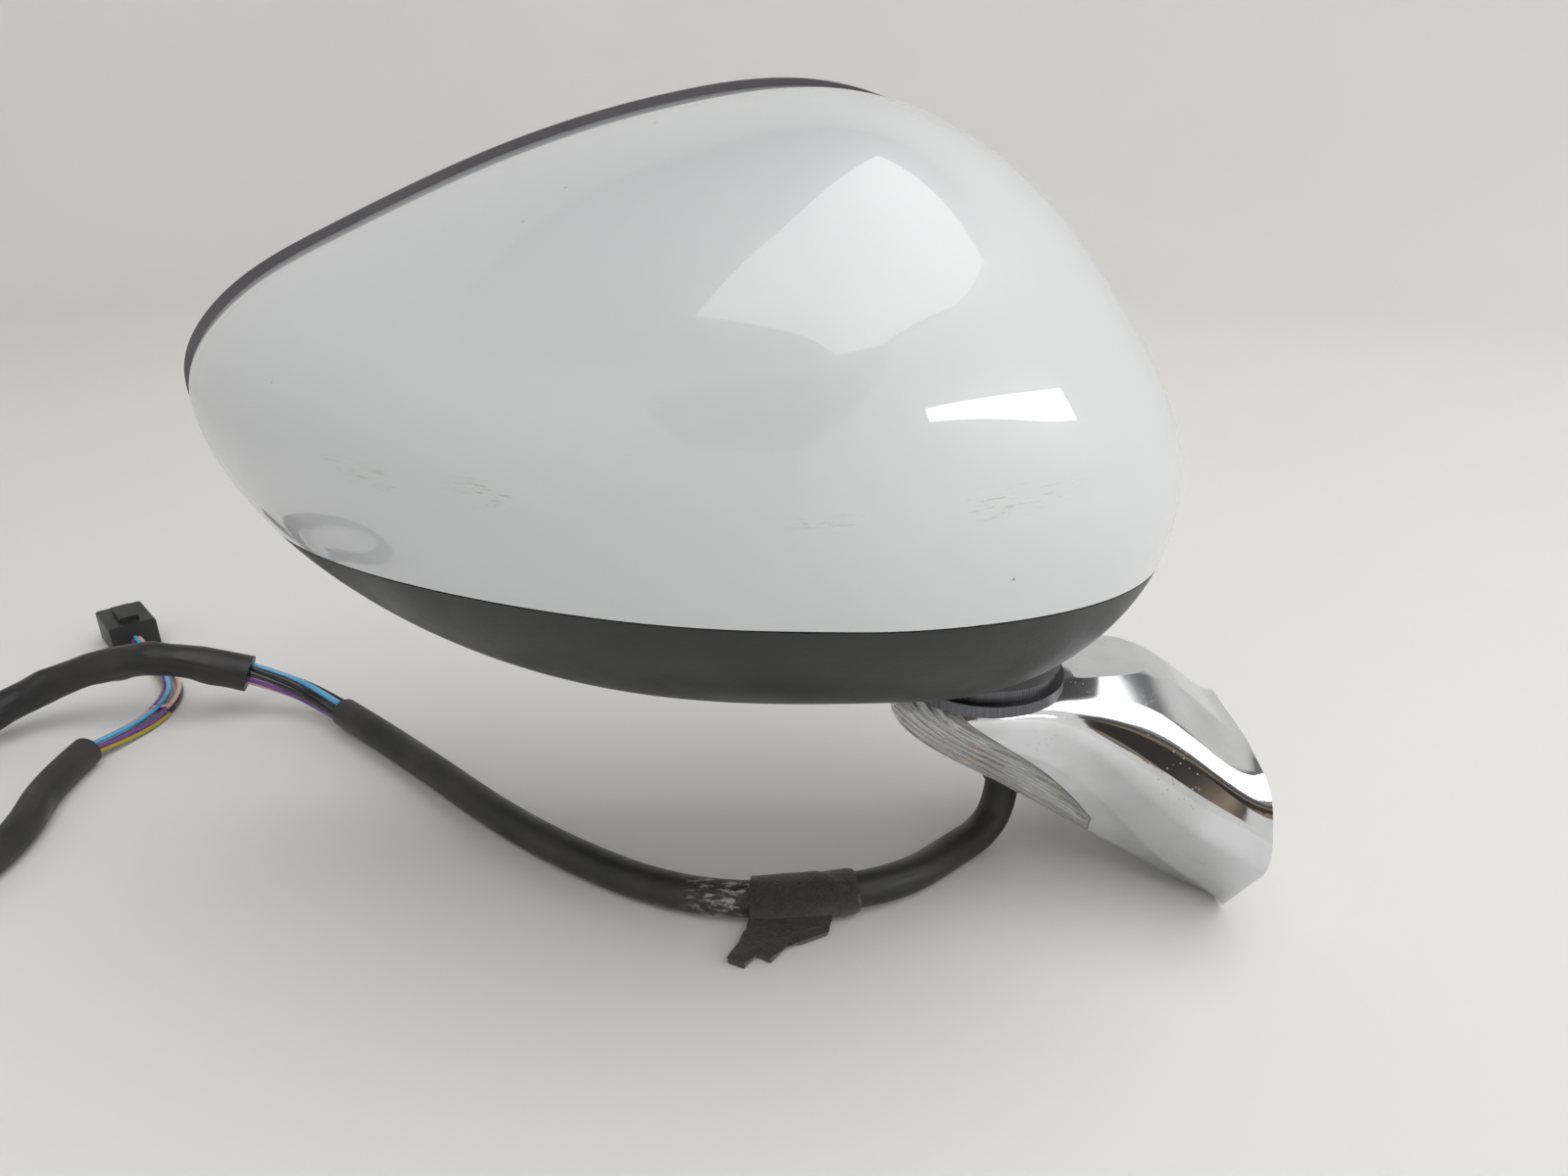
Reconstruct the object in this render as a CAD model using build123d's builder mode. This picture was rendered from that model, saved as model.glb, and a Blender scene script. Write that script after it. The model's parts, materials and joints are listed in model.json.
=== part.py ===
from build123d import *
import os
from math import cos, degrees, pi, radians, sin, tan

os.makedirs("parts", exist_ok=True)

# Right-hand door mirror, millimetres. X points inboard to the door, Y rearward, Z up.
# The origin is the middle of the circle of door inserts, in the mounting face X = 0.

# ---- driving dimensions ----
FLOOR_Z = -23.3             # lowest point of the foot
FOOT_TOP = 33.5             # flat top of the foot, under the head
AXIS_X, AXIS_Y = -62.0, 0.0  # vertical fold axis
RIM_Y = 34.0                # rear rim of the head shells
DOME_DEPTH = 95.0
SHELL_WALL = 2.6
SEAM_GAP = 0.3

SPINDLE_R = 8.0
SPINDLE_BORE_R = 5.0
NECK_R = 19.0
NECK_TOP = 36.3
DETENT_TOP = 39.5
SEAT_Z = 50.0               # top of the bush, where the spring starts
SPRING_TOP = 92.0
SPINDLE_TOP = 103.0
RUN_FIT = 0.05              # radial clearance of turning fits

GEAR_MODULE = 1.0
GEAR_TEETH = 27
PINION_TEETH = 12
GEAR_Z = 96.5
GEAR_WIDTH = 5.0
GEAR_CENTRES = GEAR_MODULE * (GEAR_TEETH + PINION_TEETH) / 2 + 0.15

PIVOT_X, PIVOT_Y, PIVOT_Z = -137.0, 22.0, 96.0   # glass pivot
JACK_ARM = 22.0             # jackscrews sit this far from the pivot
GLASS_Y = 33.0              # reflecting face
GLASS_INSET = 11.0
PLATE_BACK_Y = 28.0

INSERT_R, INSERT_BORE_R = 4.0, 2.5   # threaded inserts for M6 screws from inside the door
INSERT_LENGTH = 8.0
INSERT_CIRCLE_R = 14.0
INSERT_ANGLES = (180, 60, -60)

LOOM_D = 8.8                # sheathed loom
WRAP_D = 11.0               # taped and shrunk stretch
BARE_D = 7.0                # bundle of bare wires
FAN_D = 4.0                 # wires loose at the connector


# ---- helpers ----
def plane_y(y):
    """Sketch plane at this Y, with sketch x along X and sketch y along Z."""
    return Plane.XZ.offset(-y)


def save(part, name):
    part.label = name
    export_step(part, f"parts/{name}.step")


# ---- head shape ----
RIM_POINTS = [
    (-250.6, 97.5), (-240.9, 112.2), (-211.2, 129.8), (-169.4, 147.3), (-129.6, 158.2), (-96, 160),
    (-64, 145.5), (-38, 117), (-22, 86), (-27, 60), (-52, 40.5), (-95, 34.8),
    (-145, 35.2), (-192, 42), (-226, 56.5), (-246, 77),
]
HEAD_CX, HEAD_CZ = -137.0, 95.0
APEX_SHIFT_X, APEX_SHIFT_Z = 29.0, 1.0
DOME_STEPS = (0.0, 0.12, 0.28, 0.45, 0.62, 0.77, 0.88, 0.95, 0.985)


def rim_outline(inset, shift=(0, 0)):
    """Rim points moved inward, square to the outline, and then shifted in X and Z."""
    moved = []
    for i, (x, z) in enumerate(RIM_POINTS):
        before = RIM_POINTS[i - 1]
        after = RIM_POINTS[(i + 1) % len(RIM_POINTS)]
        along = Vector(after[0] - before[0], after[1] - before[1]).normalized()
        moved.append((x + inset * along.Y + shift[0], z - inset * along.X + shift[1]))
    return moved


def dome_section(step, wall):
    """Head outline at one depth step, thinned by the wall."""
    shrink_x = (1 - step ** 1.8) ** (1 / 1.8)
    shrink_top = (1 - step ** 2.4) ** 0.5
    shrink_bottom = (1 - step ** 3.4) ** 0.5
    points = []
    for x, z in rim_outline(wall):
        shrink_z = shrink_top if z > HEAD_CZ else shrink_bottom
        points.append((
            HEAD_CX + APEX_SHIFT_X * step + (x - HEAD_CX) * shrink_x,
            HEAD_CZ + APEX_SHIFT_Z * step + (z - HEAD_CZ) * shrink_z,
        ))
    return points


def dome(wall):
    """Solid bounded by the head shape, thinned by the wall and open to the rear."""
    with BuildPart() as solid:
        for step in DOME_STEPS:
            with BuildSketch(plane_y(RIM_Y - (DOME_DEPTH - wall) * step)):
                with BuildLine():
                    Spline(*dome_section(step, wall), periodic=True)
                make_face()
        loft()
    return solid.part


def rim_ring(inset, y_from, y_to, shift=(0, 0)):
    """Slab with the rim outline, between two Y planes."""
    with BuildPart() as slab:
        with BuildSketch(plane_y(y_from)):
            with BuildLine():
                Spline(*rim_outline(inset, shift), periodic=True)
            make_face()
        extrude(amount=y_from - y_to)
    return slab.part


SEAM_POINTS = [(-270, 62), (-192, 72), (-120, 74), (-60, 71.5), (10, 60)]


def seam_block(above, gap):
    """Everything above or below the seam between the cap and the lower shell."""
    side = 200 if above else 0
    shift = gap / 2 if above else -gap / 2
    with BuildPart() as block:
        with BuildSketch(plane_y(60)):
            with BuildLine():
                seam = Spline(*[(x, z + shift) for x, z in SEAM_POINTS])
                Polyline(seam @ 1, (10, side), (-270, side), seam @ 0)
            make_face()
        extrude(amount=140)
    return block.part


head_outer = dome(0)
head_inner = dome(SHELL_WALL)
head_shell = head_outer - head_inner

with BuildPart() as cover_cap:
    add(head_shell)
    add(seam_block(True, SEAM_GAP), mode=Mode.INTERSECT)
save(cover_cap.part, "cover_cap")

NECK_HOLE_R = NECK_R + 1.2
with BuildPart() as lower_shell:
    add(head_shell)
    add(seam_block(False, SEAM_GAP), mode=Mode.INTERSECT)
    with BuildSketch(Plane.XY.offset(FOOT_TOP)):
        with Locations((AXIS_X, AXIS_Y)):
            Circle(NECK_HOLE_R)
    extrude(amount=14, mode=Mode.SUBTRACT)
save(lower_shell.part, "lower_shell")

# The bezel closes the rear rim, stands proud of it at the top and tip, and has a skirt round the glass.
BEZEL_BACK_Y = 38.5
BEZEL_OPENING = 7.6
BEZEL_SHIFT = (-1.8, 1.7)
with BuildPart() as bezel:
    add(rim_ring(-0.2, RIM_Y, BEZEL_BACK_Y))
    add(rim_ring(0.1, RIM_Y, BEZEL_BACK_Y, BEZEL_SHIFT))
    add(rim_ring(BEZEL_OPENING - 2.0, RIM_Y - 3.0, RIM_Y))
    add(rim_ring(BEZEL_OPENING, RIM_Y - 5.0, BEZEL_BACK_Y + 1), mode=Mode.SUBTRACT)
save(bezel.part, "bezel")

# ---- glass, heater and carrier ----
LUG_NEAR, LUG_FAR = 13.0, 17.0      # gimbal lugs, measured from the pivot
PIN_R = 1.5
SOCKET_R, SOCKET_BORE_R = 4.6, 2.95
BALL_R = 2.4

with BuildPart() as mirror_glass:
    add(rim_ring(GLASS_INSET + 1.0, GLASS_Y - 2.0, GLASS_Y))
save(mirror_glass.part, "mirror_glass")

with BuildPart() as heater_pad:
    add(rim_ring(GLASS_INSET + 3.0, GLASS_Y - 2.6, GLASS_Y - 2.0))
save(heater_pad.part, "heater_pad")

with BuildPart() as glass_plate:
    add(rim_ring(GLASS_INSET, PLATE_BACK_Y, GLASS_Y + 0.3))
    add(rim_ring(GLASS_INSET + 0.95, GLASS_Y - 2.6, GLASS_Y + 1), mode=Mode.SUBTRACT)
    lug_mid = (LUG_NEAR + LUG_FAR) / 2
    with BuildSketch(plane_y(19)):
        with Locations((PIVOT_X, PIVOT_Z + lug_mid), (PIVOT_X, PIVOT_Z - lug_mid)):
            Rectangle(8, LUG_FAR - LUG_NEAR)
        with Locations((PIVOT_X, PIVOT_Z + JACK_ARM), (PIVOT_X - JACK_ARM, PIVOT_Z)):
            Circle(SOCKET_R)
    extrude(amount=-(PLATE_BACK_Y - 19))
    with BuildSketch(plane_y(18)):
        with Locations((PIVOT_X, PIVOT_Z + JACK_ARM), (PIVOT_X - JACK_ARM, PIVOT_Z)):
            Circle(SOCKET_BORE_R)
    extrude(amount=-(PLATE_BACK_Y - 19), mode=Mode.SUBTRACT)
    with BuildSketch(Plane.XY.offset(PIVOT_Z)):
        with Locations((PIVOT_X, PIVOT_Y)):
            Circle(PIN_R + RUN_FIT)
    extrude(amount=LUG_FAR + 3, both=True, mode=Mode.SUBTRACT)
save(glass_plate.part, "glass_plate")

# ---- gimbal ----
with BuildPart() as gimbal_ring:
    with BuildSketch(plane_y(PIVOT_Y + 2)):
        with Locations((PIVOT_X, PIVOT_Z)):
            Circle(12)
            Circle(8, mode=Mode.SUBTRACT)
    extrude(amount=4)
    with BuildSketch(Plane.YZ.offset(PIVOT_X)):
        with Locations((PIVOT_Y, PIVOT_Z)):
            Circle(PIN_R)
    extrude(amount=LUG_FAR - 0.4, both=True)
    with BuildSketch(Plane.XY.offset(PIVOT_Z)):
        with Locations((PIVOT_X, PIVOT_Y)):
            Circle(PIN_R)
    extrude(amount=LUG_FAR - 0.4, both=True)
    with BuildSketch(plane_y(PIVOT_Y + 3)):
        with Locations((PIVOT_X, PIVOT_Z)):
            Circle(8)
    extrude(amount=6, mode=Mode.SUBTRACT)
save(gimbal_ring.part, "gimbal_ring")

# ---- tilt actuator ----
CASE_X, CASE_Z = -142.0, 99.0
CASE_W, CASE_H = 68.0, 62.0
PLATE_Y, PLATE_T = -15.4, 3.0   # frame plate that carries the actuator
CASE_FRONT_Y, CASE_SPLIT_Y, CASE_REAR_Y = PLATE_Y, 3.0, 14.0
CASE_WALL = 2.0
JACKS = {
    "v": (PIVOT_X, PIVOT_Z + JACK_ARM),
    "h": (PIVOT_X - JACK_ARM, PIVOT_Z),
}


def case_half(y_open, y_closed):
    """Rounded tray, open at y_open."""
    direction = 1 if y_closed > y_open else -1
    with BuildPart() as tray:
        with BuildSketch(plane_y(y_open)):
            with Locations((CASE_X, CASE_Z)):
                RectangleRounded(CASE_W, CASE_H, 9)
        extrude(amount=-direction * abs(y_closed - y_open))
        with BuildSketch(plane_y(y_open)):
            with Locations((CASE_X, CASE_Z)):
                RectangleRounded(CASE_W - 2 * CASE_WALL, CASE_H - 2 * CASE_WALL, 7)
        extrude(amount=-direction * (abs(y_closed - y_open) - CASE_WALL), mode=Mode.SUBTRACT)
    return tray.part


with BuildPart() as actuator_case_front:
    add(case_half(CASE_SPLIT_Y, CASE_FRONT_Y))
save(actuator_case_front.part, "actuator_case_front")

with BuildPart() as actuator_case_rear:
    add(case_half(CASE_SPLIT_Y, CASE_REAR_Y))
    with BuildSketch(plane_y(CASE_REAR_Y)):
        with Locations((PIVOT_X + lug_mid, PIVOT_Z), (PIVOT_X - lug_mid, PIVOT_Z)):
            Rectangle(LUG_FAR - LUG_NEAR, 8)
    extrude(amount=-(PIVOT_Y + 3 - CASE_REAR_Y))
    with BuildSketch(Plane.YZ.offset(PIVOT_X)):
        with Locations((PIVOT_Y, PIVOT_Z)):
            Circle(PIN_R + RUN_FIT)
    extrude(amount=LUG_FAR + 3, both=True, mode=Mode.SUBTRACT)
    with BuildSketch(plane_y(CASE_REAR_Y + 1)):
        with Locations(*JACKS.values()):
            Circle(3.0)
    extrude(amount=CASE_WALL + 2, mode=Mode.SUBTRACT)
save(actuator_case_rear.part, "actuator_case_rear")

JACK_ROD_R = 2.5
JACK_NUT_Y, JACK_NUT_WIDTH = 4.0, 6.0
JACK_NUT_TEETH = 18
for name, (jack_x, jack_z) in JACKS.items():
    with BuildPart() as jackscrew:
        with BuildSketch(plane_y(PIVOT_Y - 6)):
            with Locations((jack_x, jack_z)):
                Circle(JACK_ROD_R)
        extrude(amount=PIVOT_Y - 6 + 8)
        with BuildSketch(plane_y(PIVOT_Y)):
            with Locations((jack_x, jack_z)):
                Circle(1.6)
        extrude(amount=6)
        with Locations((jack_x, PIVOT_Y, jack_z)):
            Sphere(BALL_R)
    save(jackscrew.part, f"jackscrew_{name}")

    with BuildPart() as jack_nut:
        with BuildSketch(plane_y(JACK_NUT_Y + JACK_NUT_WIDTH)):
            with Locations((jack_x, jack_z)):
                Circle(7.0)
                with PolarLocations(7.0, JACK_NUT_TEETH):
                    Rectangle(1.8, 1.1)
                Circle(JACK_ROD_R + RUN_FIT, mode=Mode.SUBTRACT)
        extrude(amount=JACK_NUT_WIDTH)
    save(jack_nut.part, f"jack_nut_{name}")

# Two small motors lie inside the case, clear of the nuts.
TILT_MOTOR_R = 7.0
with BuildPart() as tilt_motors:
    with BuildSketch(Plane.XY.offset(73)):
        with Locations((-118.5, -4)):
            Circle(TILT_MOTOR_R)
    extrude(amount=24)
    with BuildSketch(Plane.XY.offset(97)):
        with Locations((-118.5, -4)):
            Circle(1.2)
    extrude(amount=20)
    with BuildSketch(Plane.YZ.offset(-153)):
        with Locations((-4, 78)):
            Circle(TILT_MOTOR_R)
    extrude(amount=24)
    with BuildSketch(Plane.YZ.offset(-171)):
        with Locations((-4, 78)):
            Circle(1.2)
    extrude(amount=18)
save(tilt_motors.part, "tilt_motors")

# ---- head frame: spindle column, gearbox wall and actuator plate ----
COLUMN_R, COLUMN_BORE_R = 15.0, 12.4
COLUMN_TOP = 94.5
BUSH_R = 10.0
with BuildPart() as head_frame:
    with BuildSketch(Plane.XY.offset(DETENT_TOP + 0.1)):
        with Locations((AXIS_X, AXIS_Y)):
            Circle(18)
    extrude(amount=5)
    with BuildSketch(Plane.XY.offset(DETENT_TOP + 0.1)):
        with Locations((AXIS_X, AXIS_Y)):
            Circle(COLUMN_R)
    extrude(amount=COLUMN_TOP - DETENT_TOP - 0.1)
    with BuildSketch(Plane.XY.offset(60)):
        with Locations((AXIS_X, PLATE_Y + 2)):
            Rectangle(20, 6)
    extrude(amount=COLUMN_TOP - 60)
    with BuildSketch(plane_y(PLATE_Y)):
        with BuildLine():
            FilletPolyline(
                (-47, 58), (-47, 116), (-105, 128), (-160, 122), (-176, 96), (-165, 70), (-105, 58),
                radius=6, close=True,
            )
        make_face()
        for window in ((-120, 84), (-120, 110), (-148, 84), (-148, 110)):
            with Locations(window):
                RectangleRounded(16, 16, 3, mode=Mode.SUBTRACT)
    extrude(amount=PLATE_T)
    with BuildSketch(Plane.XY.offset(DETENT_TOP)):
        with Locations((AXIS_X, AXIS_Y)):
            Circle(BUSH_R)
    extrude(amount=SEAT_Z - DETENT_TOP, mode=Mode.SUBTRACT)
    with BuildSketch(Plane.XY.offset(SEAT_Z)):
        with Locations((AXIS_X, AXIS_Y)):
            Circle(COLUMN_BORE_R)
    extrude(amount=SPINDLE_TOP - SEAT_Z, mode=Mode.SUBTRACT)
save(head_frame.part, "head_frame")

with BuildPart() as spindle_bush:
    with BuildSketch(Plane.XY.offset(DETENT_TOP + 0.1)):
        with Locations((AXIS_X, AXIS_Y)):
            Circle(BUSH_R - 0.02)
            Circle(SPINDLE_R + RUN_FIT, mode=Mode.SUBTRACT)
    extrude(amount=SEAT_Z - DETENT_TOP - 0.1)
save(spindle_bush.part, "spindle_bush")

# ---- spindle and what is fixed to it ----
with BuildPart() as spindle:
    with BuildSketch(Plane.XY.offset(FOOT_TOP)):
        with Locations((AXIS_X, AXIS_Y)):
            Circle(NECK_R)
    extrude(amount=NECK_TOP - FOOT_TOP)
    with BuildSketch(Plane.XY.offset(FOOT_TOP)):
        with Locations((AXIS_X, AXIS_Y)):
            Circle(SPINDLE_R)
    extrude(amount=SPINDLE_TOP - FOOT_TOP)
    with BuildSketch(Plane.XY.offset(FOOT_TOP)):
        with Locations((AXIS_X, AXIS_Y)):
            Circle(SPINDLE_BORE_R)
    extrude(amount=SPINDLE_TOP - FOOT_TOP, mode=Mode.SUBTRACT)
save(spindle.part, "spindle")

with BuildPart() as detent_ring:
    with BuildSketch(Plane.XY.offset(NECK_TOP)):
        with Locations((AXIS_X, AXIS_Y)):
            Circle(17)
            Circle(SPINDLE_R + 0.02, mode=Mode.SUBTRACT)
    extrude(amount=DETENT_TOP - NECK_TOP)
    with BuildSketch(Plane.XY.offset(DETENT_TOP - 1.2)):
        with Locations((AXIS_X, AXIS_Y)):
            with PolarLocations(13.5, 3):
                Rectangle(8, 3)
    extrude(amount=1.2, mode=Mode.SUBTRACT)
save(detent_ring.part, "detent_ring")

SPRING_WIRE_R = 1.3
SPRING_R = 10.3
SPRING_TURNS = 7
spring_rise = SPRING_TOP - SEAT_Z - 2 * SPRING_WIRE_R - 0.3
with BuildPart() as fold_spring:
    with BuildLine(Plane(origin=(AXIS_X, AXIS_Y, SEAT_Z + SPRING_WIRE_R + 0.15))) as coil:
        Helix(pitch=spring_rise / SPRING_TURNS, height=spring_rise, radius=SPRING_R)
    with BuildSketch(Plane(origin=coil.line @ 0, z_dir=coil.line % 0)):
        Circle(SPRING_WIRE_R)
    sweep()
save(fold_spring.part, "fold_spring")

with BuildPart() as spring_retainer:
    with BuildSketch(Plane.XY.offset(SPRING_TOP)):
        with Locations((AXIS_X, AXIS_Y)):
            Circle(COLUMN_BORE_R - 0.4)
            Circle(SPINDLE_R + 0.02, mode=Mode.SUBTRACT)
    extrude(amount=2)
save(spring_retainer.part, "spring_retainer")


def gear_sketch(teeth, turn):
    """Spur gear with straight-flanked teeth, thinned for backlash."""
    pitch_r = GEAR_MODULE * teeth / 2
    root_r = pitch_r - 1.25 * GEAR_MODULE
    tip_r = pitch_r + 0.95 * GEAR_MODULE
    root_half = degrees(1.02 * GEAR_MODULE / root_r)
    pitch_half = degrees(0.72 * GEAR_MODULE / pitch_r)
    tip_half = degrees(0.34 * GEAR_MODULE / tip_r)
    points = []
    for tooth in range(teeth):
        middle = turn + 360 * tooth / teeth
        for r, half in ((root_r, -root_half), (pitch_r, -pitch_half), (tip_r, -tip_half),
                        (tip_r, tip_half), (pitch_r, pitch_half), (root_r, root_half)):
            angle = radians(middle + half)
            points.append((r * cos(angle), r * sin(angle)))
    return points


# The fold gear turns with nothing: the pinion rolls round it as the head folds.
with BuildPart() as spindle_gear:
    with BuildSketch(Plane(origin=(AXIS_X, AXIS_Y, GEAR_Z))):
        Polygon(*gear_sketch(GEAR_TEETH, 180), align=None)
        Circle(SPINDLE_R + 0.02, mode=Mode.SUBTRACT)
    extrude(amount=GEAR_WIDTH)
save(spindle_gear.part, "spindle_gear")

PINION_X = AXIS_X - GEAR_CENTRES
GEARBOX_TOP = 95.5
PINION_SHAFT_R = 2.0
with BuildPart() as fold_pinion:
    with BuildSketch(Plane(origin=(PINION_X, AXIS_Y, GEAR_Z))):
        Polygon(*gear_sketch(PINION_TEETH, 180 / PINION_TEETH), align=None)
    extrude(amount=GEAR_WIDTH)
    with BuildSketch(Plane(origin=(PINION_X, AXIS_Y, GEARBOX_TOP - 12))):
        Circle(PINION_SHAFT_R)
    extrude(amount=GEAR_Z - GEARBOX_TOP + 12)
save(fold_pinion.part, "fold_pinion")

GEARBOX_BOTTOM = 66.0
with BuildPart() as fold_gearbox:
    with BuildSketch(Plane.XY.offset(GEARBOX_BOTTOM)):
        with Locations((-87.6, PLATE_Y + 11.9)):
            RectangleRounded(19, 23.8, 3)
    extrude(amount=GEARBOX_TOP - GEARBOX_BOTTOM)
    with BuildSketch(Plane.XY.offset(GEARBOX_TOP)):
        with Locations((PINION_X, AXIS_Y)):
            Circle(PINION_SHAFT_R + RUN_FIT)
    extrude(amount=-13, mode=Mode.SUBTRACT)
save(fold_gearbox.part, "fold_gearbox")

with BuildPart() as fold_motor:
    with BuildSketch(Plane.XY.offset(GEARBOX_BOTTOM)):
        with Locations((-87.6, -2)):
            Circle(9)
    extrude(amount=-20)
    with BuildSketch(Plane.XY.offset(GEARBOX_BOTTOM - 20)):
        with Locations((-87.6, -2)):
            Circle(3)
    extrude(amount=-2)
save(fold_motor.part, "fold_motor")

# Screws fix the actuator and the gearbox to the frame plate from the front.
SCREW_SPOTS = ((-169, 99), (-134, 72), (-134, 119), (-82, 72), (-82, 90))
with BuildPart() as head_screws:
    with BuildSketch(plane_y(PLATE_Y - PLATE_T)):
        with Locations(*SCREW_SPOTS):
            Circle(3.2)
    extrude(amount=2.0)
save(head_screws.part, "head_screws")

# Spring clips hold the painted cap to the frame plate.
CLIP_SPOTS = ((-60, 104), (-100, 118), (-155, 112), (-110, 66))
with BuildPart() as cap_clips:
    with BuildSketch(plane_y(PLATE_Y - PLATE_T)):
        with Locations(*CLIP_SPOTS):
            RectangleRounded(7, 4, 0.8)
    extrude(amount=9)
save(cap_clips.part, "cap_clips")

# ---- foot shape ----
# Eight corners of the foot's section at each X, going forward over the top.
FOOT_SECTIONS = {
    -1: ((14, 22.5), (-9, 22.5), (-27, 19.5), (-33.5, 4), (-14, -22.5), (-9, -23.3), (34, -23.3), (66, -5)),
    -10: ((16, 27.5), (-3, 27.5), (-22, 22), (-29, 8), (-13, -15), (-5, -21.5), (32, -20), (56, -3)),
    -22: ((22, 33.5), (3, 33.5), (-14, 28), (-21.5, 14), (-11, -5.5), (-3, -15.5), (28, -15), (44, 3)),
    -40: ((24, 33.5), (-1, 33.5), (-9, 31), (-12.5, 25), (-9, 11.5), (-4, -4.5), (24, -6), (32, 12)),
    -60: ((22, 33.5), (-10, 33.5), (-14, 32.5), (-15.5, 30), (-13.5, 22), (-6, 9), (16, 9), (24, 22)),
    -74: ((17, 33.5), (-12, 33.5), (-14.5, 32.5), (-15.5, 31), (-14, 27), (-6, 17.5), (12, 17.5), (18.5, 26)),
    -83: ((8, 33.5), (-5, 33.5), (-7, 32.8), (-8, 31.8), (-7, 29.5), (-3, 26), (5, 26), (9, 30)),
}
FOOT_ROUNDS = (9, 9, 11, 11, 2.5, 4, 9, 9)


def foot_section(x, inset):
    """Section corners, drawn in by the inset on every side."""
    corners = FOOT_SECTIONS[x]
    ys = [y for y, z in corners]
    zs = [z for y, z in corners]
    mid_y, mid_z = (max(ys) + min(ys)) / 2, (max(zs) + min(zs)) / 2
    scale_y = 1 - 2 * inset / (max(ys) - min(ys))
    scale_z = 1 - 2 * inset / (max(zs) - min(zs))
    return [(mid_y + (y - mid_y) * scale_y, mid_z + (z - mid_z) * scale_z) for y, z in corners]


def corner_rounds(points):
    """Largest round up to the named one that fits at each corner."""
    rounds = []
    for i, point in enumerate(points):
        back = Vector(*points[i - 1]) - Vector(*point)
        on = Vector(*points[(i + 1) % len(points)]) - Vector(*point)
        turn = 180 - back.get_angle(on)
        fits = 0.44 * min(back.length, on.length) / tan(radians(turn / 2))
        rounds.append(min(FOOT_ROUNDS[i], fits))
    return rounds


def foot_solid(inset):
    """Foot shape drawn in by the inset, flat on top."""
    with BuildPart() as solid:
        for x in FOOT_SECTIONS:
            points = foot_section(x, inset)
            with BuildSketch(Plane.YZ.offset(x)):
                with BuildLine():
                    FilletPolyline(*points, radius=corner_rounds(points), close=True)
                make_face()
        loft()
        with BuildSketch(Plane.XY.offset(FOOT_TOP - inset)):
            with Locations((-40, 10)):
                Rectangle(100, 100)
        extrude(amount=20, mode=Mode.SUBTRACT)
    return solid.part


LENS_EDGE = [(-73, 36), (-61, 25), (-46, 11.5), (-33.5, -3)]
LENS_REAR_Y = 10.0


def lens_block(margin):
    """Outboard lower corner of the foot, which the lamp takes up."""
    with BuildPart() as block:
        with BuildSketch(plane_y(LENS_REAR_Y + margin)):
            with BuildLine():
                edge = Spline(*[(x + margin, z + margin) for x, z in LENS_EDGE])
                Polyline(edge @ 1, (-33.5 + margin, -30), (-100, -30), (-100, 36 + margin), edge @ 0)
            make_face()
        extrude(amount=60)
    return block.part


def pad_hole(radius, bottom):
    """Round clearance through the top of the foot for the spindle pad."""
    with BuildPart() as hole:
        with BuildSketch(Plane.XY.offset(bottom)):
            with Locations((AXIS_X, AXIS_Y)):
                Circle(radius)
        extrude(amount=FOOT_TOP + 1 - bottom)
    return hole.part


COVER_WALL = 2.0
LENS_WALL = 1.6
PAD_R = 12.5
PAD_BOTTOM = 26.0
EXIT_X, EXIT_Y = -51.0, 16.0
GROMMET_R, GROMMET_TOP = 7.0, -1.5    # flange under the foot
foot_outer = foot_solid(0)
lamp_space = foot_solid(LENS_WALL + 0.4)

with BuildPart() as foot_cover:
    add(foot_outer)
    add(foot_solid(COVER_WALL), mode=Mode.SUBTRACT)
    add(lens_block(0.2), mode=Mode.SUBTRACT)
    add(pad_hole(PAD_R + 0.3, PAD_BOTTOM), mode=Mode.SUBTRACT)
    with BuildSketch(Plane.XY.offset(-8)):
        with Locations((EXIT_X, EXIT_Y)):
            Circle(GROMMET_R - 1.5)
    extrude(amount=22, mode=Mode.SUBTRACT)
    with BuildSketch(Plane.XY.offset(-8)):
        with Locations((EXIT_X, EXIT_Y)):
            Circle(GROMMET_R + 0.2)
    extrude(amount=8 + GROMMET_TOP + 0.2, mode=Mode.SUBTRACT)
foot_cover_part = foot_cover.part.solids().sort_by(SortBy.VOLUME)[-1]
save(Part(foot_cover_part.wrapped), "foot_cover")

with BuildPart() as lamp_lens:
    add(foot_outer)
    add(foot_solid(LENS_WALL), mode=Mode.SUBTRACT)
    add(lens_block(0), mode=Mode.INTERSECT)
    add(pad_hole(PAD_R + 0.3, PAD_BOTTOM), mode=Mode.SUBTRACT)
save(lamp_lens.part, "lamp_lens")

# Reflector and housing line the lamp space, one inside the other.
LAMP_WALL = 1.1
BULB_Y, BULB_Z, BULB_R, BULB_TIP_X = -2.0, 15.0, 2.0, -63.0
SOCKET_X, SOCKET_LENGTH, SOCKET_R_LAMP = -58.0, 8.0, 2.6


def socket_rod(radius):
    """Round bar along X where the bulb socket sits."""
    with BuildPart() as rod:
        with BuildSketch(Plane.YZ.offset(SOCKET_X)):
            with Locations((BULB_Y, BULB_Z)):
                Circle(radius)
        extrude(amount=SOCKET_LENGTH)
    return rod.part


with BuildPart() as lamp_housing:
    add(lamp_space)
    add(lens_block(-0.1), mode=Mode.INTERSECT)
    add(lens_block(-0.1 - LAMP_WALL), mode=Mode.SUBTRACT)
    add(pad_hole(PAD_R + 0.3, PAD_BOTTOM - 1), mode=Mode.SUBTRACT)
    add(socket_rod(SOCKET_R_LAMP + 0.2), mode=Mode.SUBTRACT)
save(lamp_housing.part, "lamp_housing")

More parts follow.
